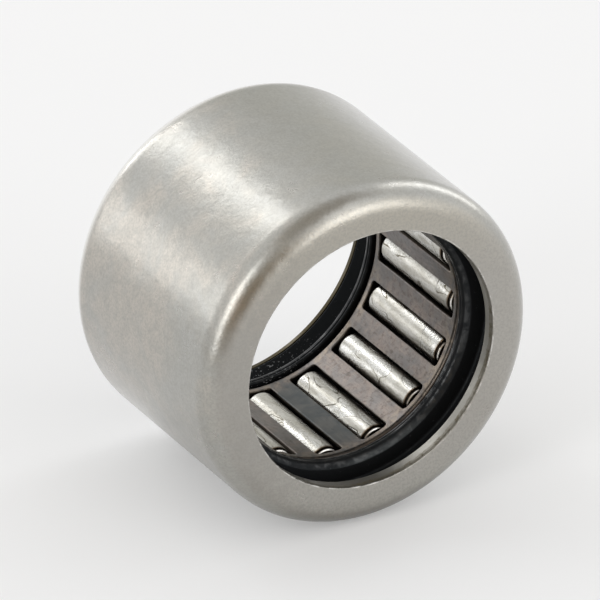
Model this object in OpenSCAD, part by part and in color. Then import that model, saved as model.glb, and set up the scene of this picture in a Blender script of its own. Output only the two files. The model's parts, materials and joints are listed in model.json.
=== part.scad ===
// Drawn cup needle roller bearing, open at both ends, with a rubber lip seal in each end.
// Its axis lies along Y and the flat front end faces -Y, so the bearing rests on its round side.
// The needles run straight on the shaft: there is no inner ring. All sizes are in millimetres.

/* [Shaft and needles] */
// Diameter of the shaft that the needles run on
shaft_d = 15; // [11:0.5:30]
// Number of needles
roller_count = 16; // [8:1:20]
// Diameter of a needle
roller_d = 2; // [1.5:0.1:3]
// Length of a needle over its rounded ends
roller_l = 8; // [5:0.1:20]
// Rounding of a needle's end edges
roller_edge_r = 0.45; // [0.1:0.05:0.7]
// Angle of the first needle from straight up, in degrees
first_roller_angle = 3.2; // [0:0.1:30]

/* [Outer cup] */
// Wall of the cup round the raceway
cup_wall = 0.97; // [0.7:0.01:2]
// Thickness of the flat front lip
front_lip_t = 0.9; // [0.5:0.05:1.5]
// Gap between the shaft and the front lip
front_lip_gap = 0.36; // [0.2:0.02:0.7]
// Rounding of the front outer corner
front_corner_r = 1.4; // [1.1:0.05:2]
// Thickness of the curled rear lip at its edge
rear_edge_t = 0.3; // [0.2:0.02:0.6]
// Gap between the shaft and the edge of the rear lip
rear_lip_gap = 0.96; // [0.8:0.02:1.3]
// Rounding of the rear outer corner
rear_corner_r = 1.8; // [1.2:0.05:2.2]
// Chamfer on the edge of each lip's hole
lip_chamfer = 0.08; // [0.04:0.01:0.15]

/* [Cage] */
// Thickness of the cage's sheet
cage_sheet = 0.5; // [0.35:0.01:0.8]
// Flat rim between the end of a window and the flange behind it
cage_rim = 0.06; // [0.04:0.01:0.3]
// How far each long edge of a window reaches in under its needle
retaining_lip = 0.12; // [0.06:0.01:0.2]
// Rounding of a window's corners
window_corner_r = 0.25; // [0.1:0.05:0.4]
// Rounding of the bend at each end of the cage
cage_bend_r = 0.3; // [0.1:0.05:0.5]

/* [Seals] */
// Width of the front seal
seal_w = 2.25; // [1.6:0.05:4]
// Length of the land on a seal's lip that meets the shaft
seal_land = 0.3; // [0.2:0.05:0.6]
// Rounding of a seal's lip on the cage side
seal_nose_r = 0.12; // [0.05:0.01:0.25]
// Gap between the shaft and the open bore of a seal
seal_bore_gap = 0.8; // [0.5:0.05:1.1]
// Slope of a seal's lip away from the shaft, in degrees
seal_slope = 45; // [35:1:60]
// Distance from the rear seal's back to the inside of the rear lip's edge
rear_seal_inset = 0.2; // [0.1:0.02:0.4]
// Chamfer on the bore at a seal's back
seal_chamfer = 0.12; // [0.05:0.01:0.2]

/* [Clearances] */
// Slack of a needle between the shaft and the raceway
radial_play = 0.03; // [0.02:0.01:0.08]
// Gap between a needle and the pocket walls of the cage
pocket_gap = 0.04; // [0.02:0.01:0.08]
// Gap between a needle's end and the end of its window
end_play = 0.1; // [0.05:0.01:0.3]
// Gap between the shaft and the cage
cage_shaft_gap = 0.12; // [0.08:0.01:0.3]
// Gap between the cage's end flanges and the raceway
cage_guide_gap = 0.08; // [0.05:0.01:0.2]
// Gap between the cage and a seal
cage_seal_gap = 0.19; // [0.1:0.01:0.4]

/* [Hidden] */
$fn = 96;
// How far a cut runs past what it cuts
over = 1;

// Radii, from the shaft outwards
shaft_r = shaft_d / 2;
roller_r = roller_d / 2;
cage_inner_r = shaft_r + cage_shaft_gap;
cage_outer_r = cage_inner_r + cage_sheet;
front_lip_r = shaft_r + front_lip_gap;
rear_lip_r = shaft_r + rear_lip_gap;
seal_bore_r = shaft_r + seal_bore_gap;
roller_pitch_r = shaft_r + roller_r + radial_play / 2;
raceway_r = shaft_r + roller_d + radial_play;
cage_flange_r = raceway_r - cage_guide_gap;
outside_r = raceway_r + cup_wall;

// Distances from the middle of the bearing towards either end
window_end = roller_l / 2 + end_play;
cage_flange_face = window_end + cage_rim;
cage_end = cage_flange_face + cage_sheet;
seal_face = cage_end + cage_seal_gap;
front_lip_face = seal_face + seal_w;
bearing_end = front_lip_face + front_lip_t;
rear_lip_face = bearing_end - rear_edge_t;
rear_seal_back = rear_lip_face - rear_seal_inset;
seal_land_end = seal_face + seal_nose_r + seal_land;
seal_slope_end = seal_land_end + seal_bore_gap / tan(seal_slope);

// The drawn sheet keeps about its own thickness round the front corner and thins out in the rear curl
front_bend_r = max(front_corner_r - cup_wall, lip_chamfer);
rear_bend_r = raceway_r - rear_lip_r;
window_w = roller_d - 2 * retaining_lip;

steel = [0.70, 0.69, 0.67];
bright_steel = [0.84, 0.84, 0.84];
dark_steel = [0.40, 0.37, 0.36];
black_rubber = [0.07, 0.08, 0.09];

function roller_angle(i) = first_roller_angle + i * 360 / roller_count;
function roller_name(i) = str("needle_roller_", i < 9 ? "0" : "", i + 1);

// Lays a shape that was turned round Z along the bearing's axis, with its +Z end to the front
module along_axis() {
    rotate([90, 0, 0]) children();
}

// Moves a shape that was drawn above the axis to the place of one needle
module at_roller(i) {
    rotate(-roller_angle(i)) children();
}

// What is cut off a corner to round it: the corner's point is at [x, y], away from the origin
module corner_waste(x, y, r) {
    translate([x - r, y - r])
        difference() {
            square(r + over);
            circle(r);
        }
}

// A small chamfer cut at the point [x, y]
module chamfer_waste(x, y, leg) {
    translate([x, y]) rotate(45) square(leg * sqrt(2), center = true);
}

// Half section of the cup's outside, front end up
module cup_outline() {
    difference() {
        translate([0, -bearing_end]) square([outside_r, 2 * bearing_end]);
        corner_waste(outside_r, bearing_end, front_corner_r);
        mirror([0, 1]) corner_waste(outside_r, bearing_end, rear_corner_r);
    }
}

// Half section of the space inside the cup, between its lips
module cavity_outline() {
    difference() {
        translate([0, -rear_lip_face]) square([raceway_r, rear_lip_face + front_lip_face]);
        corner_waste(raceway_r, front_lip_face, front_bend_r);
        mirror([0, 1]) corner_waste(raceway_r, rear_lip_face, rear_bend_r);
    }
}

// Half section of the hole through one lip of the cup
module lip_hole_outline(r) {
    square([r, bearing_end + over]);
    chamfer_waste(r, bearing_end, lip_chamfer);
}

// Half section of the bore of a seal: the lip's land, its slope and the wider bore behind it
module seal_bore_outline(back) {
    polygon([
        [0, seal_face - over],
        [shaft_r, seal_face - over],
        [shaft_r, seal_land_end],
        [seal_bore_r, seal_slope_end],
        [seal_bore_r, back + over],
        [0, back + over]
    ]);
    chamfer_waste(seal_bore_r, back, seal_chamfer);
    mirror([1, 0]) mirror([0, 1]) corner_waste(-shaft_r, -seal_face, seal_nose_r);
}

// A seal as it sits in the front end: it fills the half section of the cavity that is given to it
module seal_ring(back) {
    rotate_extrude()
        difference() {
            intersection() {
                children();
                translate([0, seal_face]) square([raceway_r + over, back - seal_face]);
            }
            seal_bore_outline(back);
        }
}

// Half section of the cage: a sleeve just outside the shaft with a flange turned out at each end
module cage_outline() {
    difference() {
        translate([cage_inner_r, -cage_end]) square([cage_flange_r - cage_inner_r, 2 * cage_end]);
        translate([cage_outer_r, -cage_flange_face]) square([raceway_r, 2 * cage_flange_face]);
        for (end = [0, 1])
            mirror([0, end]) mirror([1, 0]) corner_waste(-cage_inner_r, cage_end, cage_bend_r);
    }
}

// One window of the cage with the round pocket in which its needle turns
module window_cut() {
    translate([0, cage_inner_r - over, 0])
        rotate([-90, 0, 0])
            linear_extrude(roller_pitch_r - cage_inner_r + over)
                window_outline();
    translate([0, roller_pitch_r, 0])
        cylinder(r = roller_r + pocket_gap, h = 2 * window_end, center = true);
}

module window_outline() {
    difference() {
        square([window_w, 2 * window_end], center = true);
        for (side = [0, 1], end = [0, 1])
            mirror([side, 0])
                mirror([0, end]) corner_waste(window_w / 2, window_end, window_corner_r);
    }
}

// Half section of a needle
module roller_outline() {
    difference() {
        translate([0, -roller_l / 2]) square([roller_r, roller_l]);
        for (end = [0, 1])
            mirror([0, end]) corner_waste(roller_r, roller_l / 2, roller_edge_r);
    }
}

// The drawn steel cup: raceway inside, flat lip at the front, thin curled lip at the rear
module outer_cup() {
    color(steel)
        along_axis()
            rotate_extrude()
                difference() {
                    cup_outline();
                    cavity_outline();
                    lip_hole_outline(front_lip_r);
                    mirror([0, 1]) lip_hole_outline(rear_lip_r);
                }
}

module front_seal() {
    color(black_rubber)
        along_axis()
            seal_ring(front_lip_face) cavity_outline();
}

module rear_seal() {
    color(black_rubber)
        along_axis()
            mirror([0, 0, 1])
                seal_ring(rear_seal_back) mirror([0, 1]) cavity_outline();
}

module roller_cage() {
    color(dark_steel)
        along_axis()
            difference() {
                rotate_extrude() cage_outline();
                for (i = [0 : roller_count - 1])
                    at_roller(i) window_cut();
            }
}

module needle_roller(i) {
    color(bright_steel)
        along_axis()
            at_roller(i)
                translate([0, roller_pitch_r, 0])
                    rotate_extrude() roller_outline();
}

outer_cup();
front_seal();
rear_seal();
roller_cage();
for (i = [0 : roller_count - 1])
    needle_roller(i);
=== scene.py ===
import json
import math

import bmesh
import bpy
from mathutils import Matrix, Vector

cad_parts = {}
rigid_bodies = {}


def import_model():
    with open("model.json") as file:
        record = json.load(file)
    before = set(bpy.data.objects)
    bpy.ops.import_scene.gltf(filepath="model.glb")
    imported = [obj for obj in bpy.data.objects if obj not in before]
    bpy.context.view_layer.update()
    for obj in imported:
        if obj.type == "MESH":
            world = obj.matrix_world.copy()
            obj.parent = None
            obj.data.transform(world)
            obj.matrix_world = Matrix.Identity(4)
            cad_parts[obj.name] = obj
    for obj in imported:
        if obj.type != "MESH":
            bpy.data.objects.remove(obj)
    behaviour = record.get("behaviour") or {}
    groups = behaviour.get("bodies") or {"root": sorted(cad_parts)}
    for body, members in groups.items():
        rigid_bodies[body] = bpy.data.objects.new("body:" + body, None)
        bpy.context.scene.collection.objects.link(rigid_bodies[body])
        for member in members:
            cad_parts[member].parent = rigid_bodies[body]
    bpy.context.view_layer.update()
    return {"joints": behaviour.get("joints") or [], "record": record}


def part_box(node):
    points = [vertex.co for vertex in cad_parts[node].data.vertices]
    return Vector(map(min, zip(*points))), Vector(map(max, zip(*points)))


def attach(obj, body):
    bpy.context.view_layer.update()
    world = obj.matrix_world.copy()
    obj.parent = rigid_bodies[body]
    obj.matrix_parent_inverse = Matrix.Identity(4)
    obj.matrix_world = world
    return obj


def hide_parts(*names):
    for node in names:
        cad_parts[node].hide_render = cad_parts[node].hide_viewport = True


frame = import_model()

# A drawn cup needle roller bearing that lies on its round side, its axis along Y and its front at -Y.
# Sizes are in millimetres and are brought to metres where a mesh is made.
MM = 0.001

# What the frame gives
MOUNTS = {mount["name"]: mount for mount in frame["record"]["mounts"]}
SHAFT_R = MOUNTS["shaft_bore"]["dims"]["r_mm"]
OUTSIDE_R = MOUNTS["housing_seat"]["dims"]["r_mm"]
NEEDLE_JOINTS = [joint for joint in frame["joints"] if joint["parent"] == "cage"]
NEEDLE_COUNT = len(NEEDLE_JOINTS)
FIRST_NEEDLE = Vector(NEEDLE_JOINTS[0]["pos_m"])
PITCH_R = FIRST_NEEDLE.length / MM
FIRST_NEEDLE_ANGLE = math.atan2(FIRST_NEEDLE.x, FIRST_NEEDLE.z)
BEARING_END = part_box("outer_cup")[1].y / MM
SEAL_FACE = -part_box("front_seal")[1].y / MM
REAR_SEAL_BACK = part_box("rear_seal")[1].y / MM
CAGE_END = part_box("roller_cage")[1].y / MM
NEEDLE_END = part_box("needle_roller_01")[1].y / MM

# The needles
RADIAL_PLAY = 0.03
NEEDLE_R = PITCH_R - SHAFT_R - RADIAL_PLAY / 2
NEEDLE_EDGE_R = 0.26
NEEDLE_DOME_R = 1.1
NEEDLE_DOME_W = 0.4
NEEDLE_DOME_FALL = 0.26

# The cup: its lips, their edges, and the soft shoulder from the front face to its corner
RACEWAY_R = SHAFT_R + 2 * NEEDLE_R + RADIAL_PLAY
FRONT_LIP_GAP = 0.36
FRONT_LIP_R = SHAFT_R + FRONT_LIP_GAP
FRONT_LIP_T = 0.9
FRONT_CORNER_R = 1.4
FRONT_BEND_R = FRONT_CORNER_R - OUTSIDE_R + RACEWAY_R
REAR_LIP_GAP = 0.96
REAR_LIP_R = SHAFT_R + REAR_LIP_GAP
REAR_EDGE_T = 0.3
REAR_CORNER_R = 1.8
LIP_EDGE_R = 0.05
FRACTURE_DEPTH = 0.2
FRACTURE_FLARE = 0.02
FRACTURE_EDGE_R = 0.025
INNER_EDGE_R = 0.04
LIP_INNER_EDGE_R = 0.12
FACE_SHOULDER_R = 3.0
FACE_FLAT_R = 8.9
SHOULDER_FALL = 0.1
SOFT_CORNER_R = 1.52

# The seals: the lip with its bead and recess, the tongue behind it, the hollow and the open bore
SEAL_BORE_GAP = 0.8
SEAL_BORE_R = SHAFT_R + SEAL_BORE_GAP
SEAL_NOSE_R = 0.1
SEAL_BEAD_W = 0.13
SEAL_BEAD_R = 0.03
SEAL_RECESS_W = 0.14
SEAL_RECESS_SINK = 0.05
SEAL_LIP_W = 0.50
SEAL_BROW_R = 0.45
SEAL_TONGUE_GAP = 0.36
SEAL_TONGUE_R = SHAFT_R + SEAL_TONGUE_GAP
SEAL_TONGUE_W = 0.80
SEAL_TONGUE_EDGE_R = 0.07
SEAL_HOLLOW_GAP = 1.4
SEAL_HOLLOW_R = SHAFT_R + SEAL_HOLLOW_GAP
SEAL_HOLLOW_W = 0.70
SEAL_HOLLOW_END = 1.50
SEAL_HOLLOW_EDGE_R = 0.15
SEAL_EDGE_R = 0.06
REAR_SEAL_CURL_R = 0.85

# The cage: a sleeve with a flange at each end, its windows, and the place of its oily web
CAGE_SHAFT_GAP = 0.12
CAGE_INNER_R = SHAFT_R + CAGE_SHAFT_GAP
CAGE_SHEET = 0.5
CAGE_OUTER_R = CAGE_INNER_R + CAGE_SHEET
CAGE_GUIDE_GAP = 0.08
CAGE_FLANGE_R = RACEWAY_R - CAGE_GUIDE_GAP
CAGE_BEND_R = 0.3
CAGE_EDGE_R = 0.05
CAGE_INNER_BEND_R = 0.03
RETAINING_LIP = 0.12
WINDOW_W = 2 * NEEDLE_R - 2 * RETAINING_LIP
END_PLAY = 0.1
WINDOW_END = NEEDLE_END + END_PLAY
WINDOW_CORNER_R = 0.25
WINDOW_EDGE_R = 0.05
OIL_WEB = 7.5
OIL_ANGLE = FIRST_NEEDLE_ANGLE + OIL_WEB * 2 * math.pi / NEEDLE_COUNT

# How finely round shapes are drawn
ROUND_STEPS = 320
NEEDLE_STEPS = 72
ARC_STEP = math.radians(9)
ARC_LEAST = 4

# Points that keep a straight flat: how far from its ends they lie, and the largest share of its length
SUPPORT = 0.06
SUPPORT_SHARE = 0.2

# Points that lie closer than this are one point
WELD = 0.0001


# Node trees

def pick(sockets, key):
    """A node's socket by its place, its identifier or its name."""
    if isinstance(key, int):
        return sockets[key]
    for socket in sockets:
        if socket.enabled and key in (socket.identifier, socket.name):
            return socket
    raise KeyError(key)


class Wire:
    """An output of a node. Python's operators on it add Math nodes to the same tree."""

    def __init__(self, tree, socket):
        self.tree = tree
        self.socket = socket

    def of(self, key):
        """Another output of the same node."""
        return Wire(self.tree, pick(self.socket.node.outputs, key))

    def math(self, operation, *others):
        """A Math node that starts with this output."""
        values = [self, *others]
        return self.tree.add("ShaderNodeMath", {"operation": operation}, dict(enumerate(values)))

    def reflected(self, operation, other):
        """A Math node that ends with this output."""
        return self.tree.add("ShaderNodeMath", {"operation": operation}, {0: other, 1: self})

    def __add__(self, other):
        return self.math("ADD", other)

    def __radd__(self, other):
        return self.reflected("ADD", other)

    def __sub__(self, other):
        return self.math("SUBTRACT", other)

    def __rsub__(self, other):
        return self.reflected("SUBTRACT", other)

    def __neg__(self):
        return self.reflected("SUBTRACT", 0.0)

    def __mul__(self, other):
        return self.math("MULTIPLY", other)

    def __rmul__(self, other):
        return self.reflected("MULTIPLY", other)

    def __truediv__(self, other):
        return self.math("DIVIDE", other)

    def __rtruediv__(self, other):
        return self.reflected("DIVIDE", other)

    def __pow__(self, other):
        return self.math("POWER", other)


class Tree:
    """A node tree that is written as expressions."""

    def __init__(self, tree):
        self.tree = tree

    def add(self, kind, settings=None, sockets=None, out=0):
        """Adds a node with its settings and the values or wires of its sockets, and gives one output."""
        node = self.tree.nodes.new(kind)
        for name, value in (settings or {}).items():
            setattr(node, name, value)
        for key, value in (sockets or {}).items():
            target = pick(node.inputs, key)
            if isinstance(value, Wire):
                self.tree.links.new(value.socket, target)
            else:
                target.default_value = value
        if not node.outputs:
            return None
        return Wire(self, pick(node.outputs, out))

    def vector(self, x, y, z):
        return self.add("ShaderNodeCombineXYZ", None, {"X": x, "Y": y, "Z": z})

    def along(self, place, way):
        """How far a place lies along a way."""
        sockets = {0: place, 1: way}
        return self.add("ShaderNodeVectorMath", {"operation": "DOT_PRODUCT"}, sockets, "Value")

    def noise(self, place, scale, detail=2.0, roughness=0.5, distortion=0.0):
        sockets = {"Vector": place, "Scale": scale, "Detail": detail, "Roughness": roughness}
        sockets["Distortion"] = distortion
        return self.add("ShaderNodeTexNoise", None, sockets)

    def ramp(self, value, low, high):
        """0 below low, 1 above high and smooth between them."""
        sockets = {"Value": value, "From Min": low, "From Max": high}
        return self.add("ShaderNodeMapRange", {"interpolation_type": "SMOOTHSTEP"}, sockets)

    def fall(self, value, low, high):
        """1 below low, 0 above high and smooth between them."""
        return 1 - self.ramp(value, low, high)

    def band(self, value, low, full, ending, high):
        """1 from full to ending, 0 below low and above high, and smooth between them."""
        return self.ramp(value, low, full) * self.fall(value, ending, high)

    def mix(self, share, first, second):
        """A colour between two colours."""
        sockets = {"Factor_Float": share, "A_Color": first, "B_Color": second}
        return self.add("ShaderNodeMix", {"data_type": "RGBA"}, sockets, "Result_Color")

    def paint(self, colour, *layers):
        """A colour with others laid over it in turn, each given as its share and its colour."""
        for share, layer in layers:
            colour = self.mix(share, colour, layer)
        return colour

    def relief(self, *layers):
        """A Normal that follows heights of 0 to 1, each with the depth in millimetres it stands for."""
        normal = None
        for height, depth in layers:
            sockets = {"Height": height, "Distance": depth * MM, "Strength": 1.0}
            if normal:
                sockets["Normal"] = normal
            normal = self.add("ShaderNodeBump", None, sockets)
        return normal


def tint(red, green, blue):
    """An opaque colour."""
    return (red, green, blue, 1.0)


# Materials. Places on a piece are in millimetres, as all sizes are

def start_material(name):
    """A new material and its tree, with the place on the piece in millimetres and its three parts."""
    material = bpy.data.materials.new(name)
    material.use_nodes = True
    material.node_tree.nodes.clear()
    tree = Tree(material.node_tree)
    place = tree.add("ShaderNodeTexCoord", None, None, "Object")
    in_mm = tree.add("ShaderNodeVectorMath", {"operation": "SCALE"}, {0: place, "Scale": 1 / MM})
    parts = tree.add("ShaderNodeSeparateXYZ", None, {0: in_mm})
    return material, tree, in_mm, (parts.of("X"), parts.of("Y"), parts.of("Z"))


def end_material(material, tree, sockets):
    """Gives a material its shader, with the values or wires of its sockets."""
    shader = tree.add("ShaderNodeBsdfPrincipled", None, sockets)
    tree.add("ShaderNodeOutputMaterial", None, {"Surface": shader})
    return material


def from_axis(x, z):
    """The distance from an axis along Y."""
    return (x * x + z * z) ** 0.5


# The cup's colours, some of them painted light or shade, the ways along which three of its marks grow,
# and how ragged its torn edge is
COOL_SATIN = tint(0.420, 0.418, 0.396)
WARM_SATIN = tint(0.424, 0.414, 0.379)
BROWN_STAIN = tint(0.425, 0.386, 0.352)
TAN_AND_LIT_FLANK = tint(0.535, 0.487, 0.432)
GREY_CLOUD = tint(0.375, 0.368, 0.341)
GRAIN_SHADE = tint(0.325, 0.319, 0.293)
FACE_SATIN = tint(0.425, 0.399, 0.369)
LOW_LIGHT_PAINT = tint(0.525, 0.515, 0.475)
TOP_LIGHT_PAINT = tint(0.475, 0.440, 0.362)
LEFT_SHADE_PAINT = tint(0.30, 0.285, 0.255)
CORNER_SHADE_PAINT = tint(0.19, 0.18, 0.155)
BURNISHED_STEEL = tint(0.84, 0.83, 0.79)
HOLE_STEEL = tint(0.36, 0.345, 0.305)
HOLE_SHADE_PAINT = tint(0.085, 0.08, 0.068)
TORN_STEEL = tint(0.155, 0.132, 0.08)
WORN_STEEL = tint(0.75, 0.74, 0.71)
REAR_OIL = tint(0.05, 0.039, 0.016)
FLANK_LEAN = Vector((-0.035, 0.015, 0.01))
LEFT_SHADE_LEAN = Vector((-0.08, 0.0, 0.0))
HOLE_SHADE_WAY = Vector((-0.45, 0.0, -1.0))
RAGGEDNESS = 0.42


def cup_steel():
    """Drawn steel, tumbled to a satin grain, with cloudy stains and a burnished rear curl.
    The hole of the front lip is torn at its edge and has painted shade at the bottom."""
    material, tree, place, (x, y, z) = start_material("satin cup steel")
    radius = from_axis(x, z)
    from_face = y + BEARING_END
    to_rear = BEARING_END - y
    past_lip = radius - FRONT_LIP_R
    to_outside = OUTSIDE_R - radius
    grain = tree.noise(place, 6.5, detail=3.0, roughness=0.7)
    clouds = tree.noise(place, 1.6, detail=4.0, roughness=0.62, distortion=0.3)
    waves = tree.noise(place, 0.33, detail=2.0, roughness=0.5, distortion=0.4)
    stains = tree.noise(place, 0.24, detail=3.0, roughness=0.6, distortion=0.7)
    ragged = RAGGEDNESS * (tree.noise(place, 1.9, detail=5.0, roughness=0.78) - 0.5)
    # Partly a warm tone and partly painted light: the flank that leans to the left is lighter
    toned_and_lit_flank = tree.ramp(stains + tree.along(place, FLANK_LEAN), 0.70, 0.98)
    on_face = tree.fall(from_face, 0.1, 0.4)
    # Painted light: the low part of the face is lighter
    painted_low_light = on_face * tree.ramp(-z, 4.5, 9.5) * tree.ramp(to_outside, 0.6, 1.2)
    # Painted light: the top of the face is lighter and warmer
    painted_top_light = on_face * tree.ramp(z, 2.5, 9.0)
    # Painted shade on the left of the face, with a cloudy edge
    painted_left_shade = on_face * tree.ramp(clouds + tree.along(place, LEFT_SHADE_LEAN), 0.7, 1.2)
    # Painted shade low on the front corner
    painted_corner_shade = tree.fall(to_outside, 0.7, 1.3) * tree.fall(from_face, 1.2, 2.4) * tree.ramp(-z, 7.2, 9.6)
    burnished = tree.fall(to_rear, 1.0, 1.65) * tree.fall(to_outside, 0.6, 1.4)
    in_hole = tree.fall(past_lip, 0.03, 0.07)
    # Painted shade at the bottom of the lip's hole, where it mirrors the dark inside
    painted_hole_shade = in_hole * tree.ramp(tree.along(place, HOLE_SHADE_WAY), 5.6, 7.6)
    torn = in_hole * tree.band(from_face + ragged, 0.03, 0.09, 0.30, 0.40)
    torn = torn * (0.45 + tree.ramp(clouds, 0.42, 0.6) * 0.55)
    worn = tree.fall(from_face + ragged * 0.2, 0.04, 0.08) * tree.fall(past_lip, 0.07, 0.12)
    worn = worn * tree.ramp(clouds, 0.42, 0.58)
    oiled = tree.fall(to_rear, 0.35, 0.5) * tree.fall(radius - REAR_LIP_R, 0.05, 0.3)
    colour = tree.paint(
        COOL_SATIN,
        (tree.ramp(stains, 0.34, 0.62), WARM_SATIN),
        (tree.ramp(stains, 0.60, 0.72) * 0.4, BROWN_STAIN),
        (toned_and_lit_flank * 0.6, TAN_AND_LIT_FLANK),
        (tree.ramp(clouds, 0.38, 0.70) * 0.6, GREY_CLOUD),
        (on_face * 0.6, FACE_SATIN),
        (painted_low_light * 0.5, LOW_LIGHT_PAINT),
        (painted_top_light * 0.5, TOP_LIGHT_PAINT),
        (painted_left_shade * 0.3, LEFT_SHADE_PAINT),
        (tree.ramp(grain, 0.38, 0.66) * 0.55, GRAIN_SHADE),
        (painted_corner_shade * 0.55, CORNER_SHADE_PAINT),
        (burnished, BURNISHED_STEEL),
        (in_hole * 0.6, HOLE_STEEL),
        (painted_hole_shade * 0.8, HOLE_SHADE_PAINT),
        (torn * 0.85, TORN_STEEL),
        (worn * 0.6, WORN_STEEL),
        (oiled, REAR_OIL),
    )
    roughness = 0.215 + 0.08 * waves + 0.08 * clouds
    roughness = roughness + 0.12 * (torn + in_hole) - 0.08 * (burnished + worn)
    return end_material(material, tree, {
        "Base Color": colour,
        "Metallic": 1.0,
        "Roughness": roughness,
        "Coat Weight": 0.8,
        "Coat IOR": 1.3,
        "Coat Roughness": 0.18,
        "Normal": tree.relief((grain * (1 - in_hole), 0.010), (clouds, 0.016), (waves, 0.08)),
    })


# The needles' colours, and the height of the film's noise at which the film ends
FROSTED_STEEL = tint(0.65, 0.648, 0.62)
SMEARED_STEEL = tint(0.37, 0.357, 0.315)
OIL_FILM = tint(0.52, 0.497, 0.43)
FROST_SHADE = tint(0.30, 0.285, 0.24)
PIT_SHADE = tint(0.20, 0.18, 0.14)
FILM_LINE = tint(0.14, 0.125, 0.095)
BROWN_END_SHADE = tint(0.15, 0.10, 0.055)
BLACK_END_SHADE = tint(0.025, 0.02, 0.015)
GLINT_RING = tint(0.80, 0.78, 0.74)
FILM_EDGE = 0.5


def needle_steel():
    """Ground needles under a torn film of oil, with thin dark lines along its edges.
    Their front ends are painted dark as shade, with a bright ring left where the glint shows."""
    material, tree, place, (x, y, z) = start_material("polished needle steel")
    from_front = y + NEEDLE_END
    film_place = tree.vector(x * 0.55, y * 0.3, z * 0.55)
    film = tree.noise(film_place, 1.0, detail=1.6, roughness=0.5, distortion=0.9)
    smear_place = tree.vector(x * 2.0, y * 0.5, z * 2.0)
    smears = tree.noise(smear_place, 1.0, detail=4.0, roughness=0.6, distortion=0.4)
    pits = tree.noise(place, 4.5, detail=3.0, roughness=0.6)
    frost = tree.noise(place, 9.0, detail=2.0, roughness=0.6)
    breaks = tree.noise(place, 0.5, detail=1.0, roughness=0.5)
    under_film = tree.ramp(film, FILM_EDGE, FILM_EDGE + 0.015)
    film_line = tree.fall((film - FILM_EDGE).math("ABSOLUTE"), 0.003, 0.011)
    colour = tree.paint(
        FROSTED_STEEL,
        (tree.ramp(smears, 0.40, 0.66) * 0.9, SMEARED_STEEL),
        (under_film * 0.35, OIL_FILM),
        (tree.ramp(frost, 0.46, 0.70) * 0.4, FROST_SHADE),
        (tree.ramp(pits, 0.62, 0.74) * 0.5, PIT_SHADE),
        (film_line * tree.ramp(breaks, 0.42, 0.50), FILM_LINE),
        # Painted shade: the front ends are dark brown and black, with a bright ring where the glint
        # shows
        (tree.fall(from_front, 0.40, 0.58), BROWN_END_SHADE),
        (tree.fall(from_front, 0.32, 0.44), BLACK_END_SHADE),
        (tree.band(from_front, 0.185, 0.195, 0.228, 0.242), GLINT_RING),
    )
    return end_material(material, tree, {
        "Base Color": colour,
        "Metallic": 1.0,
        "Roughness": 0.18 + 0.14 * smears + 0.05 * under_film,
        "Normal": tree.relief((under_film, 0.006), (smears, 0.010), (pits, 0.006), (frost, 0.012)),
    })


# The cage's colours
GREY_OXIDE = tint(0.165, 0.155, 0.148)
BROWN_OXIDE = tint(0.24, 0.203, 0.18)
DARK_OXIDE = tint(0.14, 0.136, 0.133)
TAN_OXIDE = tint(0.29, 0.245, 0.19)
OXIDE_SPECK = tint(0.09, 0.073, 0.063)
DARK_OIL = tint(0.075, 0.086, 0.09)
PALE_OIL = tint(0.115, 0.122, 0.12)
WINDOW_SHADE_PAINT = tint(0.055, 0.045, 0.038)


def cage_steel():
    """Hardened sheet with a brown oxide, one web dark with oil, and black painted shade in its windows.
    """
    material, tree, place, (x, y, z) = start_material("dark cage steel")
    from_middle = y.math("ABSOLUTE")
    mottle = tree.noise(place, 1.1, detail=5.0, roughness=0.62, distortion=0.5)
    blush = tree.noise(place, 0.45, detail=3.0, roughness=0.6, distortion=0.8)
    specks = tree.noise(place, 3.6, detail=4.0, roughness=0.72)
    rolled = tree.noise(tree.vector(x * 2.5, y * 0.5, z * 2.5), 2.0, detail=3.0, roughness=0.55)
    at_ends = tree.ramp(from_middle + blush, 3.7, 4.8) * tree.ramp(mottle, 0.40, 0.62)
    from_web = from_axis(x - CAGE_INNER_R * math.sin(OIL_ANGLE), z - CAGE_INNER_R * math.cos(OIL_ANGLE))
    on_web = tree.fall(from_web + mottle, 1.0, 2.2) * tree.fall(from_middle + mottle, 3.6, 4.8)
    oil = tree.mix(tree.ramp(mottle, 0.35, 0.65), DARK_OIL, PALE_OIL)
    colour = tree.paint(
        GREY_OXIDE,
        (tree.ramp(mottle, 0.32, 0.7), BROWN_OXIDE),
        (tree.ramp(blush, 0.42, 0.66) * 0.6, DARK_OXIDE),
        (at_ends * 0.6, TAN_OXIDE),
        (tree.ramp(specks, 0.47, 0.70) * 0.7, OXIDE_SPECK),
        (on_web * 0.85, oil),
        # Painted shade: the window walls and all outward of the sheet's inside are black
        (tree.ramp(from_axis(x, z) - CAGE_INNER_R, 0.02, 0.1), WINDOW_SHADE_PAINT),
    )
    return end_material(material, tree, {
        "Base Color": colour,
        "Metallic": 1.0,
        "Roughness": 0.26 + 0.16 * mottle,
        "Normal": tree.relief((specks, 0.007), (rolled, 0.02)),
    })


# The seals' colours, and the ways along which the painted sheen and the grit grow
RUBBER_BLACK = tint(0.013, 0.0135, 0.0145)
RUBBER_DUST = tint(0.085, 0.09, 0.095)
SHEEN_PAINT = tint(0.085, 0.092, 0.096)
PALE_GRIT = tint(0.38, 0.39, 0.40)
RUBBER_SHEEN = tint(0.80, 0.93, 1.0)
SHEEN_WAY = Vector((0.30, 0.0, -0.954))
GRIT_WAY = Vector((-0.25, 0.0, -1.0))


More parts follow.
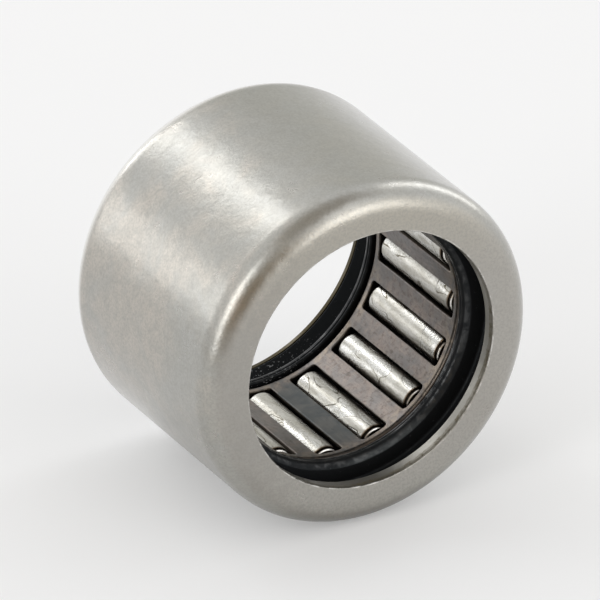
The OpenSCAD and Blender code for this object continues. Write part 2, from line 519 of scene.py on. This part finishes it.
def seal_rubber():
    """Black moulded rubber, turned in fine rings, matt in its hollow and wet with oil on the lip.
    A pale sheen is painted low on the front seal's lip, and fine grit lies low on the rear one."""
    material, tree, place, (x, y, z) = start_material("black seal rubber")
    radius = from_axis(x, z)
    past_shaft = radius - SHAFT_R
    ring_place = tree.vector(x * 0.2, (y + radius) * 9, z * 0.2)
    rings = tree.noise(ring_place, 1.0, detail=3.0, roughness=0.6)
    dust = tree.noise(place, 6.0, detail=3.0, roughness=0.6)
    grit = tree.noise(place, 7.5, detail=2.0, roughness=0.6)
    patches = tree.noise(place, 1.9, detail=4.0, roughness=0.68, distortion=0.4)
    at_front = tree.ramp(-y, -1.0, 1.0)
    on_lip = tree.fall(past_shaft, 0.15, 0.38)
    # Painted sheen: a pale patch low on the front seal's lip
    painted_sheen = at_front * tree.band(past_shaft, 0.03, 0.2, 0.28, 0.42)
    painted_sheen = painted_sheen * tree.ramp(tree.along(place, SHEEN_WAY), 7.05, 7.7)
    gritty = (1 - at_front) * tree.ramp(tree.along(place, GRIT_WAY), 5.0, 7.4)
    gritty = gritty * tree.ramp(patches, 0.38, 0.52)
    colour = tree.paint(
        RUBBER_BLACK,
        (tree.ramp(dust, 0.68, 0.74), RUBBER_DUST),
        (painted_sheen * (0.6 + 0.4 * tree.ramp(patches, 0.40, 0.60)), SHEEN_PAINT),
        (gritty * tree.ramp(grit, 0.62, 0.68), PALE_GRIT),
    )
    oily = on_lip * (0.06 + (0.38 + 0.56 * at_front) * tree.ramp(patches, 0.42, 0.60))
    oily = oily + (1 - on_lip) * (0.1 + 0.2 * at_front) * tree.ramp(patches, 0.50, 0.68)
    return end_material(material, tree, {
        "Base Color": colour,
        "Metallic": 0.0,
        "Roughness": 0.40 + 0.16 * dust,
        "Specular IOR Level": 0.15,
        "Specular Tint": RUBBER_SHEEN,
        "Coat Weight": oily,
        "Coat Roughness": 0.22,
        "Normal": tree.relief((rings, 0.010)),
    })


# Outlines in a half section: each point is the radius and the place along the axis

def arc_of_corner(before, corner, after, rounding):
    """The points that round one corner of an outline."""
    back = (before - corner).normalized()
    ahead = (after - corner).normalized()
    opening = back.angle(ahead)
    to_tangent = rounding / math.tan(opening / 2)
    middle = corner + (back + ahead).normalized() * rounding / math.sin(opening / 2)
    start = corner + back * to_tangent - middle
    turn = math.pi - opening
    if back.cross(ahead) > 0:
        turn = -turn
    steps = max(ARC_LEAST, math.ceil(abs(turn) / ARC_STEP))
    return [middle + Matrix.Rotation(turn * step / steps, 2) @ start for step in range(steps + 1)]


def outline(corners, closed=True):
    """Points along an outline that is given as corners (radius, along, rounding).
    Each straight gets a point near each of its ends."""
    places = [Vector(corner[:2]) for corner in corners]
    stretches = []
    for index, (place, corner) in enumerate(zip(places, corners)):
        at_end = not closed and index in (0, len(corners) - 1)
        if at_end or not corner[2]:
            stretches.append([place])
            continue
        after = places[(index + 1) % len(places)]
        stretches.append(arc_of_corner(places[index - 1], place, after, corner[2]))
    if closed:
        stretches.append(stretches[0][:1])
    points = []
    for stretch in stretches:
        if points:
            points += straight_supports(points[-1], stretch[0])
        points += stretch
    return points


def straight_supports(start, end):
    """Two points near the ends of a straight, which keep the shading of the straight flat."""
    length = (end - start).length
    reach = min(SUPPORT, SUPPORT_SHARE * length) / length
    return [start.lerp(end, reach), start.lerp(end, 1 - reach)]


def cup_corners():
    """The cup, from the hole of its front lip, over its outside and its rear curl, and back inside."""
    lip_inside = FRONT_LIP_T - BEARING_END
    rear_inside = BEARING_END - REAR_EDGE_T
    return [
        (FRONT_LIP_R + FRACTURE_FLARE, -BEARING_END, LIP_EDGE_R),
        (FACE_FLAT_R, -BEARING_END, FACE_SHOULDER_R),
        (OUTSIDE_R, SHOULDER_FALL - BEARING_END, SOFT_CORNER_R),
        (OUTSIDE_R, BEARING_END, REAR_CORNER_R),
        (REAR_LIP_R, BEARING_END, LIP_EDGE_R),
        (REAR_LIP_R, rear_inside, INNER_EDGE_R),
        (RACEWAY_R, rear_inside, RACEWAY_R - REAR_LIP_R - 2 * INNER_EDGE_R),
        (RACEWAY_R, lip_inside, FRONT_BEND_R),
        (FRONT_LIP_R, lip_inside, LIP_INNER_EDGE_R),
        (FRONT_LIP_R, FRACTURE_DEPTH - BEARING_END, FRACTURE_EDGE_R),
    ]


def seal_corners(back, back_rounding):
    """A seal at the rear, from the lip that faces the cage, round the hollow behind it, to its back."""
    recess_r = SHAFT_R + SEAL_RECESS_SINK
    recess_start = SEAL_FACE + SEAL_BEAD_W
    recess_end = recess_start + SEAL_RECESS_W
    return [
        (SHAFT_R, SEAL_FACE, SEAL_NOSE_R),
        (SHAFT_R, recess_start, SEAL_BEAD_R / 2),
        (recess_r, recess_start + SEAL_RECESS_W / 2, SEAL_BEAD_R),
        (SHAFT_R, recess_end, SEAL_BEAD_R / 2),
        (SHAFT_R, SEAL_FACE + SEAL_LIP_W, SEAL_BROW_R),
        (SEAL_TONGUE_R, SEAL_FACE + SEAL_TONGUE_W, SEAL_TONGUE_EDGE_R),
        (SEAL_HOLLOW_R, SEAL_FACE + SEAL_HOLLOW_W, SEAL_HOLLOW_EDGE_R),
        (SEAL_HOLLOW_R, SEAL_FACE + SEAL_HOLLOW_END, SEAL_HOLLOW_EDGE_R),
        (SEAL_BORE_R, back, SEAL_EDGE_R),
        (RACEWAY_R, back, back_rounding),
        (RACEWAY_R, SEAL_FACE, SEAL_EDGE_R),
    ]


def needle_corners():
    """A needle with slightly domed ends."""
    dome_foot = NEEDLE_END - NEEDLE_DOME_FALL
    return [
        (0.0, -NEEDLE_END, 0),
        (NEEDLE_DOME_W, -NEEDLE_END, NEEDLE_DOME_R),
        (NEEDLE_R, -dome_foot, NEEDLE_EDGE_R),
        (NEEDLE_R, dome_foot, NEEDLE_EDGE_R),
        (NEEDLE_DOME_W, NEEDLE_END, NEEDLE_DOME_R),
        (0.0, NEEDLE_END, 0),
    ]


# Geometry Nodes

def start_shape_tree(name, inputs):
    """A Geometry Nodes tree with a Geometry, these named inputs and a Material, and its group input."""
    group = bpy.data.node_groups.new(name, "GeometryNodeTree")
    group.interface.new_socket("Geometry", in_out="INPUT", socket_type="NodeSocketGeometry")
    for label, kind in inputs:
        group.interface.new_socket(label, in_out="INPUT", socket_type="NodeSocket" + kind)
    group.interface.new_socket("Material", in_out="INPUT", socket_type="NodeSocketMaterial")
    group.interface.new_socket("Geometry", in_out="OUTPUT", socket_type="NodeSocketGeometry")
    tree = Tree(group)
    return group, tree, tree.add("NodeGroupInput")


def end_shape_tree(tree, given, shape):
    """Makes a shape real, welds it, smooths its shading and gives it the Material."""
    whole = tree.add("GeometryNodeRealizeInstances", None, {"Geometry": shape})
    welded = tree.add("GeometryNodeMergeByDistance", None, {"Geometry": whole, "Distance": WELD * MM})
    smooth = tree.add("GeometryNodeSetShadeSmooth", None, {"Geometry": welded})
    sockets = {"Geometry": smooth, "Material": given.of("Material")}
    tree.add("NodeGroupOutput", None, {0: tree.add("GeometryNodeSetMaterial", None, sockets)})


def turned_tree():
    """Turns a chain of points, in the XY plane, round the Y axis, and sets the result down at Centre."""
    group, tree, given = start_shape_tree("turned piece", [("Steps", "Int"), ("Centre", "Vector")])
    chain = given.of("Geometry")
    steps = given.of("Steps")
    count = tree.add("GeometryNodeAttributeDomainSize", {"component": "MESH"}, {"Geometry": chain})
    last = count - 1
    sockets = {"Size X": last, "Size Y": steps, "Vertices X": count, "Vertices Y": steps + 1}
    grid = tree.add("GeometryNodeMeshGrid", None, sockets)
    parts = tree.add("ShaderNodeSeparateXYZ", None, {0: tree.add("GeometryNodeInputPosition")})
    row = (parts.of("X") + last * 0.5).math("ROUND")
    angle = (parts.of("Y") / steps + 0.5) * (2 * math.pi)
    settings = {"data_type": "FLOAT_VECTOR", "domain": "POINT"}
    sockets = {"Geometry": chain, "Value": tree.add("GeometryNodeInputPosition"), "Index": row}
    point = tree.add("GeometryNodeSampleIndex", settings, sockets)
    section = tree.add("ShaderNodeSeparateXYZ", None, {0: point})
    radius = section.of("X")
    turned = tree.vector(radius * angle.math("SINE"), section.of("Y"), radius * angle.math("COSINE"))
    ring = tree.add("GeometryNodeSetPosition", None, {"Geometry": grid, "Position": turned})
    sockets = {"Geometry": ring, "Translation": given.of("Centre")}
    end_shape_tree(tree, given, tree.add("GeometryNodeTransform", None, sockets))
    return group


def ring_tree():
    """Sets a cell round the Y axis, Count times, the first one at First Angle from straight up."""
    group, tree, given = start_shape_tree("ring of cells", [("Count", "Int"), ("First Angle", "Float")])
    count = given.of("Count")
    points = tree.add("GeometryNodePoints", None, {"Count": count})
    share = tree.add("GeometryNodeInputIndex") / count
    angle = given.of("First Angle") + share * (2 * math.pi)
    turn = tree.add("FunctionNodeEulerToRotation", None, {"Euler": tree.vector(0.0, angle, 0.0)})
    sockets = {"Points": points, "Instance": given.of("Geometry"), "Rotation": turn}
    end_shape_tree(tree, given, tree.add("GeometryNodeInstanceOnPoints", None, sockets))
    return group


def shape_with(name, mesh, group, values):
    """A plain object made by a Geometry Nodes tree from a mesh, with faces that point outwards."""
    source = bpy.data.objects.new(name + "_source", mesh)
    bpy.context.scene.collection.objects.link(source)
    modifier = source.modifiers.new("shape", "NODES")
    modifier.node_group = group
    for item in group.interface.items_tree:
        if item.in_out == "INPUT" and item.name in values:
            modifier[item.identifier] = values[item.name]
    bpy.context.view_layer.update()
    evaluated = source.evaluated_get(bpy.context.evaluated_depsgraph_get())
    result = bpy.data.meshes.new_from_object(evaluated)
    bpy.data.objects.remove(source)
    result.name = name
    face_outwards(result)
    piece = bpy.data.objects.new(name, result)
    bpy.context.scene.collection.objects.link(piece)
    return piece


def face_outwards(mesh):
    work = bmesh.new()
    work.from_mesh(mesh)
    bmesh.ops.recalc_face_normals(work, faces=work.faces)
    work.to_mesh(mesh)
    work.free()


# Pieces

def turned_piece(name, corners, closed, steps, centre, material):
    """A round piece from the corners of its half section."""
    points = outline(corners, closed)
    mesh = bpy.data.meshes.new(name + "_chain")
    mesh.from_pydata([(point.x * MM, point.y * MM, 0) for point in points], [], [])
    values = {"Steps": steps, "Centre": centre, "Material": material}
    return shape_with(name, mesh, TURNED, values)


def place_piece(piece, node, body):
    """Hides the CAD node a piece stands for and sets the piece in the body it moves with."""
    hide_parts(node)
    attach(piece, body)


def front_corners(corners):
    """A seal's corners as it sits in the front end."""
    return [(radius, -along, rounding) for radius, along, rounding in corners]


TURNED = turned_tree()
RING = ring_tree()
ORIGIN = (0.0, 0.0, 0.0)


# The cage: one cell of sheet round one window, drawn above the axis and set round it

HALF_CELL = math.pi / NEEDLE_COUNT

# Steps along half of a window's side, round its corner, along half of its end, and over its rolled edge
SIDE_STEPS = 16
CORNER_STEPS = 8
END_STEPS = 5
EDGE_STEPS = 4

# Rings on the sheet's inside and outside, as shares of the way from a window to the edge of its cell
INSIDE_SHARES = (1.0, 0.62, 0.3, 0.1, 0.0)
OUTSIDE_SHARES = (0.0, 0.5, 1.0)

# The pocket of a needle: where it starts to open, its width at the sheet's outside, and its edge there
POCKET_START_R = 8.0
POCKET_OUTER_W = 1.91
OUTER_EDGE_R = 0.02

# Where the straight sleeve ends and the bend of the flange starts, inside and outside
STRAIGHT_END = CAGE_END - CAGE_BEND_R - SUPPORT
FLANGE_FACE = CAGE_END - CAGE_SHEET
BEND_CLEARANCE = 0.005
OUTER_STRAIGHT_END = FLANGE_FACE - CAGE_INNER_BEND_R - BEND_CLEARANCE


def cell_quarter(window_w, grow, straight_end):
    """Pairs of points from the middle of a window's side to the middle of its end.
    The first of a pair is on the window, as (across, along).
    The second is on the edge of the cell, as (angle, along)."""
    half_w = window_w / 2 - WINDOW_CORNER_R
    half_l = WINDOW_END - WINDOW_CORNER_R
    inset_angle = math.asin((WINDOW_W / 2 - WINDOW_CORNER_R) / CAGE_INNER_R)
    corner_r = WINDOW_CORNER_R + grow
    middle = CORNER_STEPS // 2
    pairs = []
    for step in range(SIDE_STEPS + 1):
        along = half_l * step / SIDE_STEPS
        pairs.append(((half_w + corner_r, along), (HALF_CELL, along)))
    for step in range(1, CORNER_STEPS + 1):
        turn = math.pi / 2 * step / CORNER_STEPS
        on_window = (half_w + corner_r * math.cos(turn), half_l + corner_r * math.sin(turn))
        up = min(step / middle, 1.0)
        inwards = max(step / middle - 1.0, 0.0)
        angle = HALF_CELL + (inset_angle - HALF_CELL) * inwards
        pairs.append((on_window, (angle, half_l + (straight_end - half_l) * up)))
    for step in range(1, END_STEPS + 1):
        left = 1 - step / END_STEPS
        pairs.append(((half_w * left, half_l + corner_r), (inset_angle * left, straight_end)))
    return pairs


def all_round(quarter):
    """Closes a quarter's pairs to a whole loop by mirroring it."""
    def mirrored(pairs, across, along):
        return [tuple((point[0] * across, point[1] * along) for point in pair) for pair in pairs]

    back = quarter[::-1]
    loop = quarter[:-1] + mirrored(back, -1, 1)[:-1]
    return loop + mirrored(quarter, -1, -1)[:-1] + mirrored(back, 1, -1)[:-1]


def cell_ring(share, radius, window_w, grow, straight_end):
    """Points on a cylinder round the axis, from the window (share 0) to the cell's edge (share 1)."""
    ring = []
    for (across, along), (angle, cell_along) in all_round(cell_quarter(window_w, grow, straight_end)):
        window_angle = math.asin(across / radius)
        turn = window_angle + (angle - window_angle) * share
        place = along + (cell_along - along) * share
        ring.append(on_cylinder(radius, turn, place))
    return ring


def on_cylinder(radius, angle, along):
    return (radius * math.sin(angle) * MM, along * MM, radius * math.cos(angle) * MM)


def cell_rings():
    """The cell's rings from the sheet's inside, through the window, to its outside."""
    inside = [(share, CAGE_INNER_R, WINDOW_W, WINDOW_EDGE_R, STRAIGHT_END) for share in INSIDE_SHARES]
    edge = []
    for step in range(1, EDGE_STEPS + 1):
        turn = math.pi / 2 * step / EDGE_STEPS
        radius = CAGE_INNER_R + WINDOW_EDGE_R * (1 - math.cos(turn))
        edge.append((0.0, radius, WINDOW_W, WINDOW_EDGE_R * (1 - math.sin(turn)), STRAIGHT_END))
    pocket = [
        (0.0, POCKET_START_R, WINDOW_W, 0.0, OUTER_STRAIGHT_END),
        (0.0, CAGE_OUTER_R - OUTER_EDGE_R, POCKET_OUTER_W, 0.0, OUTER_STRAIGHT_END),
    ]
    outside = [
        (share, CAGE_OUTER_R, POCKET_OUTER_W, OUTER_EDGE_R, OUTER_STRAIGHT_END)
        for share in OUTSIDE_SHARES
    ]
    return [cell_ring(*ring) for ring in inside + edge + pocket + outside]


def flange_rows():
    """The flange at the rear end of the cell, in rows from the sheet's inside to its outside."""
    chain = outline([
        (CAGE_INNER_R, STRAIGHT_END, 0),
        (CAGE_INNER_R, CAGE_END, CAGE_BEND_R),
        (CAGE_FLANGE_R, CAGE_END, CAGE_EDGE_R),
        (CAGE_FLANGE_R, FLANGE_FACE, CAGE_EDGE_R),
        (CAGE_OUTER_R, FLANGE_FACE, CAGE_INNER_BEND_R),
        (CAGE_OUTER_R, OUTER_STRAIGHT_END, 0),
    ], closed=False)
    quarter = cell_quarter(WINDOW_W, 0.0, STRAIGHT_END)
    half = [pair[1][0] for pair in quarter[SIDE_STEPS + CORNER_STEPS // 2:]]
    angles = half + [-angle for angle in half[-2::-1]]
    return [[on_cylinder(point.x, angle, point.y) for angle in angles] for point in chain]


def add_grid(vertices, faces, rows, closed):
    """Adds a grid of four sided faces over rows of points."""
    first = len(vertices)
    width = len(rows[0])
    for row in rows:
        vertices.extend(row)
    for upper in range(len(rows) - 1):
        for column in range(width if closed else width - 1):
            beside = (column + 1) % width
            a = first + upper * width
            b = a + width
            faces.append((a + column, a + beside, b + beside, b + column))


def cage_cell():
    """The sheet round one window, with a strip of the flange at each end."""
    vertices = []
    faces = []
    add_grid(vertices, faces, cell_rings(), True)
    rear = flange_rows()
    front = [[(x, -y, z) for x, y, z in row] for row in rear]
    add_grid(vertices, faces, rear, False)
    add_grid(vertices, faces, front, False)
    mesh = bpy.data.meshes.new("cage_cell")
    mesh.from_pydata(vertices, [], faces)
    return mesh


# The bearing

def build_bearing():
    steel = cup_steel()
    rubber = seal_rubber()
    cup = turned_piece("cup_shell", cup_corners(), True, ROUND_STEPS, ORIGIN, steel)
    place_piece(cup, "outer_cup", "cup")
    rear = seal_corners(REAR_SEAL_BACK, REAR_SEAL_CURL_R)
    seal = turned_piece("rear_lip_seal", rear, True, ROUND_STEPS, ORIGIN, rubber)
    place_piece(seal, "rear_seal", "cup")
    front_back = BEARING_END - FRONT_LIP_T
    front = seal_corners(front_back, FRONT_BEND_R)
    seal = turned_piece("front_lip_seal", front_corners(front), True, ROUND_STEPS, ORIGIN, rubber)
    place_piece(seal, "front_seal", "cup")
    values = {"Count": NEEDLE_COUNT, "First Angle": FIRST_NEEDLE_ANGLE, "Material": cage_steel()}
    cage = shape_with("window_cage", cage_cell(), RING, values)
    place_piece(cage, "roller_cage", "cage")
    polished = needle_steel()
    for joint in NEEDLE_JOINTS:
        body = joint["child"]
        number = body.split("_")[-1]
        name = "polished_needle_" + number
        needle = turned_piece(name, needle_corners(), False, NEEDLE_STEPS, joint["pos_m"], polished)
        place_piece(needle, "needle_roller_" + number, body)


# The stage

WHITE = tint(1, 1, 1)

# The camera: its place round the bearing, its lens, how far it is set aside and raised, and what it sees
CAMERA_AZIMUTH = math.radians(-30.2)
CAMERA_ELEVATION = math.radians(28.41)
CAMERA_DISTANCE = 717.03
CAMERA_LENS = 765.93
CAMERA_ASIDE = 0.0243
CAMERA_RAISE = 0.0545
CAMERA_NEAREST = 10.0
CAMERA_FARTHEST = 20000.0

# The floor: its reach, its colours, its glow where it is seen or mirrored, and where it darkens
FLOOR_REACH = 3000.0
FLOOR_CORNERS = ((-1, -1), (1, -1), (1, 1), (-1, 1))
FLOOR_SHADE = tint(0.828, 0.835, 0.845)
FLOOR_PALE = tint(0.857, 0.864, 0.874)
FLOOR_NEAR = tint(0.49, 0.46, 0.425)
FLOOR_GLOW = 0.25
REFLECTED_GLOW = 0.24
FLOOR_FADE_AZIMUTH = math.radians(-55)
FLOOR_FADE_START = 36.0
FLOOR_FADE_END = 150.0

# The room, and its dimmer parts: the way to the middle, the angles to the edge and the core, the colour
ROOM_LIGHT = 1.01
OVERHEAD = (Vector((-0.05, -0.32, 0.95)), 42, 10, tint(0.50, 0.46, 0.41))
CAMERA_SIDE = (Vector((-0.52, -0.84, 0.15)), 38, 12, tint(0.345, 0.27, 0.182))
HIGH_BACK = (Vector((0.53, 0.76, 0.33)), 30, 8, tint(0.74, 0.735, 0.70))

# Softboxes: the name, the way to it, its width, its height and its brightness
SOFTBOX_DISTANCE = 450.0
SOFTBOXES = [
    ("rear softbox", Vector((-0.17, 0.86, 0.48)), 70.0, 330.0, 2.85),
    ("rear left panel", Vector((-0.64, 0.76, 0.16)), 160.0, 130.0, 1.05),
    ("left panel", Vector((-0.875, -0.31, 0.37)), 105.0, 360.0, 2.9),
    ("right panel", Vector((0.866, 0.206, 0.454)), 110.0, 370.0, 2.0),
    ("right wall", Vector((0.83, -0.54, 0.17)), 330.0, 220.0, 0.21),
    ("upper front panel", Vector((0.25, -0.70, 0.66)), 170.0, 190.0, 0.58),
    ("front right panel", Vector((0.36, -0.90, 0.20)), 200.0, 220.0, 1.7),
]


def direction(azimuth, elevation):
    """The way from the bearing to a place, with azimuth 0 in front of it."""
    level = math.cos(elevation)
    return Vector((math.sin(azimuth) * level, -math.cos(azimuth) * level, math.sin(elevation)))


def pale_floor():
    """A pale sheet that glows a little where it is seen or mirrored, and is darker at the front left."""
    material, tree, place, _ = start_material("pale sheet")
    clouds = tree.noise(place, 0.02, detail=2.0, roughness=0.5)
    ahead = tree.along(place, direction(FLOOR_FADE_AZIMUTH, 0.0))
    near = tree.ramp(ahead, FLOOR_FADE_START, FLOOR_FADE_END)
    colour = tree.paint(FLOOR_SHADE, (clouds, FLOOR_PALE), (near, FLOOR_NEAR))
    paths = tree.add("ShaderNodeLightPath")
    mirrored = paths.of("Is Glossy Ray") + paths.of("Is Transmission Ray")
    seen = paths.of("Is Camera Ray") + mirrored * REFLECTED_GLOW
    share = seen.math("MINIMUM", 1.0) * FLOOR_GLOW
    sheet = tree.add("ShaderNodeBsdfDiffuse", None, {"Color": colour})
    glow_colour = tree.mix(near, WHITE, FLOOR_NEAR)
    glow = tree.add("ShaderNodeEmission", None, {"Color": glow_colour, "Strength": 1.0})
    shader = tree.add("ShaderNodeMixShader", None, {0: share, 1: sheet, 2: glow})
    tree.add("ShaderNodeOutputMaterial", None, {"Surface": shader})
    return material


def lay_floor():
    reach = FLOOR_REACH * MM
    height = -OUTSIDE_R * MM
    mesh = bpy.data.meshes.new("floor")
    corners = [(x * reach, y * reach, height) for x, y in FLOOR_CORNERS]
    mesh.from_pydata(corners, [], [(0, 1, 2, 3)])
    mesh.materials.append(pale_floor())
    floor = bpy.data.objects.new("floor", mesh)
    bpy.context.scene.collection.objects.link(floor)


def light_room():
    """An even pale room, dimmer overhead, high at the back and, with a brown tone, round the camera."""
    world = bpy.data.worlds.new("studio")
    bpy.context.scene.world = world
    world.use_nodes = True
    world.node_tree.nodes.clear()
    tree = Tree(world.node_tree)
    way = tree.add("ShaderNodeTexCoord", None, None, "Generated")
    colour = WHITE
    for middle, edge, core, shade in (OVERHEAD, CAMERA_SIDE, HIGH_BACK):
        facing = tree.along(way, middle.normalized())
        dim = tree.ramp(facing, math.cos(math.radians(edge)), math.cos(math.radians(core)))
        colour = tree.mix(dim, colour, shade)
    back = tree.add("ShaderNodeBackground", None, {"Color": colour, "Strength": ROOM_LIGHT})
    tree.add("ShaderNodeOutputWorld", None, {"Surface": back})


def hang_softbox(name, way, width, height, brightness):
    """A rectangular light of an even brightness, aimed at the bearing."""
    lamp = bpy.data.lights.new(name, "AREA")
    lamp.shape = "RECTANGLE"
    lamp.size = width * MM
    lamp.size_y = height * MM
    lamp.energy = brightness * math.pi * lamp.size * lamp.size_y
    light = bpy.data.objects.new(name, lamp)
    light.location = way.normalized() * SOFTBOX_DISTANCE * MM
    light.rotation_euler = way.to_track_quat("Z", "Y").to_euler()
    bpy.context.scene.collection.objects.link(light)


def set_camera():
    lens = bpy.data.cameras.new("camera")
    lens.lens = CAMERA_LENS
    lens.clip_start = CAMERA_NEAREST * MM
    lens.clip_end = CAMERA_FARTHEST * MM
    camera = bpy.data.objects.new("camera", lens)
    bpy.context.scene.collection.objects.link(camera)
    back = direction(CAMERA_AZIMUTH, CAMERA_ELEVATION)
    right = Vector((math.cos(CAMERA_AZIMUTH), math.sin(CAMERA_AZIMUTH), 0))
    up = back.cross(right)
    camera.location = (back * CAMERA_DISTANCE + right * CAMERA_ASIDE + up * CAMERA_RAISE) * MM
    camera.rotation_euler = back.to_track_quat("Z", "Y").to_euler()
    bpy.context.scene.camera = camera


build_bearing()
lay_floor()
light_room()
for softbox in SOFTBOXES:
    hang_softbox(*softbox)
set_camera()
bpy.context.scene.view_settings.view_transform = "Standard"
